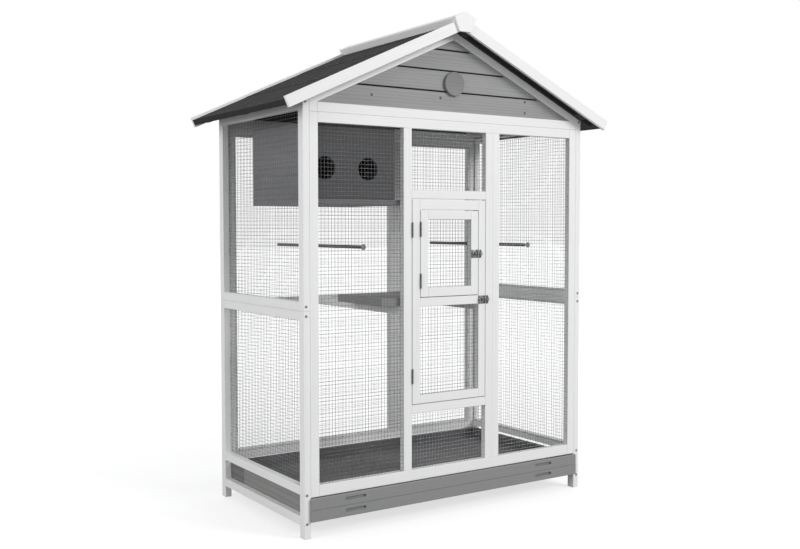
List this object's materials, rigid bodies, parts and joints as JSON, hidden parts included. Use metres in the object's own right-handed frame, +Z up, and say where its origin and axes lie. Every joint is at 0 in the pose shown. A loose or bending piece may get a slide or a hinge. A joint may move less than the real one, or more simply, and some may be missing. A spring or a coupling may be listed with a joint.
{
  "type": "wooden aviary",
  "caption": "Free-standing wooden bird aviary with wire mesh sides, a gabled felt roof, a small door within a main door, pull-out trays and a nest box.",
  "frame": {"origin": "on the ground under the middle of the object", "axes": "+Z up, -Y out of the front with the doors, +X to the right seen from the front"},
  "size_m": [1.388, 0.786, 1.7595],
  "materials": {
    "white_timber": "white painted pine, satin",
    "grey_timber": "grey painted pine boards, satin",
    "nest_timber": "grey stained pine boards, matt",
    "perch_timber": "dark stained dowel",
    "dark_batten": "dark stained battens and boards, matt",
    "felt": "dark grey mineral asphalt felt",
    "wire": "galvanised welded wire",
    "black_steel": "black painted steel",
    "zinc_steel": "zinc plated pressed steel"
  },
  "bodies": {
    "cabinet": {"barge_front_left": "white_timber", "barge_front_right": "white_timber", "barge_rear_left": "white_timber", "barge_rear_right": "white_timber", "bearer_left": "white_timber", "bearer_right": "white_timber", "front_frame": "white_timber", "gable_disc": "grey_timber", "gable_front_boards": "grey_timber", "gable_front_frame": "white_timber", "gable_rear_boards": "grey_timber", "gable_rear_frame": "white_timber", "keystone_front": "white_timber", "keystone_rear": "white_timber", "main_bolt_keeper": "zinc_steel", "main_hinge_lower_fixed_leaf": "black_steel", "main_hinge_upper_fixed_leaf": "black_steel", "nest_box": "nest_timber", "nest_front": "nest_timber", "net_left_bay": "wire", "net_left_lower": "wire", "net_left_upper": "wire", "net_over_door": "wire", "net_rear_lower": "wire", "net_rear_upper": "wire", "net_right_bay": "wire", "net_right_lower": "wire", "net_right_upper": "wire", "net_under_door": "wire", "perch_left": "perch_timber", "perch_right": "perch_timber", "platform": "grey_timber", "rear_frame": "white_timber", "ridge_cap": "white_timber", "roof_felt": "felt", "roof_left_board": "dark_batten", "roof_right_board": "dark_batten", "side_left_lower_frame": "white_timber", "side_left_upper_frame": "white_timber", "side_right_lower_frame": "white_timber", "side_right_upper_frame": "white_timber", "tray_runner_left": "grey_timber", "tray_runner_right": "grey_timber"},
    "main_door": {"main_door_frame": "white_timber", "net_main_door": "wire", "main_hinge_lower_moving_leaf": "black_steel", "main_hinge_upper_moving_leaf": "black_steel", "main_bolt_plate": "zinc_steel", "small_bolt_keeper": "zinc_steel", "small_hinge_lower_fixed_leaf": "black_steel", "small_hinge_upper_fixed_leaf": "black_steel"},
    "small_door": {"small_door_frame": "white_timber", "net_small_door": "wire", "small_hinge_lower_moving_leaf": "black_steel", "small_hinge_upper_moving_leaf": "black_steel", "small_bolt_plate": "zinc_steel"},
    "main_bolt": {"main_bolt_rod": "black_steel"},
    "small_bolt": {"small_bolt_rod": "black_steel"},
    "upper_tray": {"tray_upper": "grey_timber"},
    "lower_tray": {"tray_lower": "grey_timber"}
  },
  "joints": [
    {"name": "main_door_hinge", "type": "hinge", "parent": "cabinet", "child": "main_door", "pos_m": [-0.1805, -0.3325, 0.753], "axis": [0, 0, -1], "range_deg": [0, 90]},
    {"name": "small_door_hinge", "type": "hinge", "parent": "main_door", "child": "small_door", "pos_m": [-0.146, -0.3325, 0.923], "axis": [0, 0, -1], "range_deg": [0, 80]},
    {"name": "main_bolt_slide", "type": "slide", "parent": "main_door", "child": "main_bolt", "axis": [1, 0, 0], "range_m": [0, 0.013]},
    {"name": "small_bolt_slide", "type": "slide", "parent": "small_door", "child": "small_bolt", "axis": [1, 0, 0], "range_m": [0, 0.013]},
    {"name": "upper_tray_slide", "type": "slide", "parent": "cabinet", "child": "upper_tray", "axis": [0, -1, 0], "range_m": [0, 0.5]},
    {"name": "lower_tray_slide", "type": "slide", "parent": "cabinet", "child": "lower_tray", "axis": [0, -1, 0], "range_m": [0, 0.5]}
  ]
}
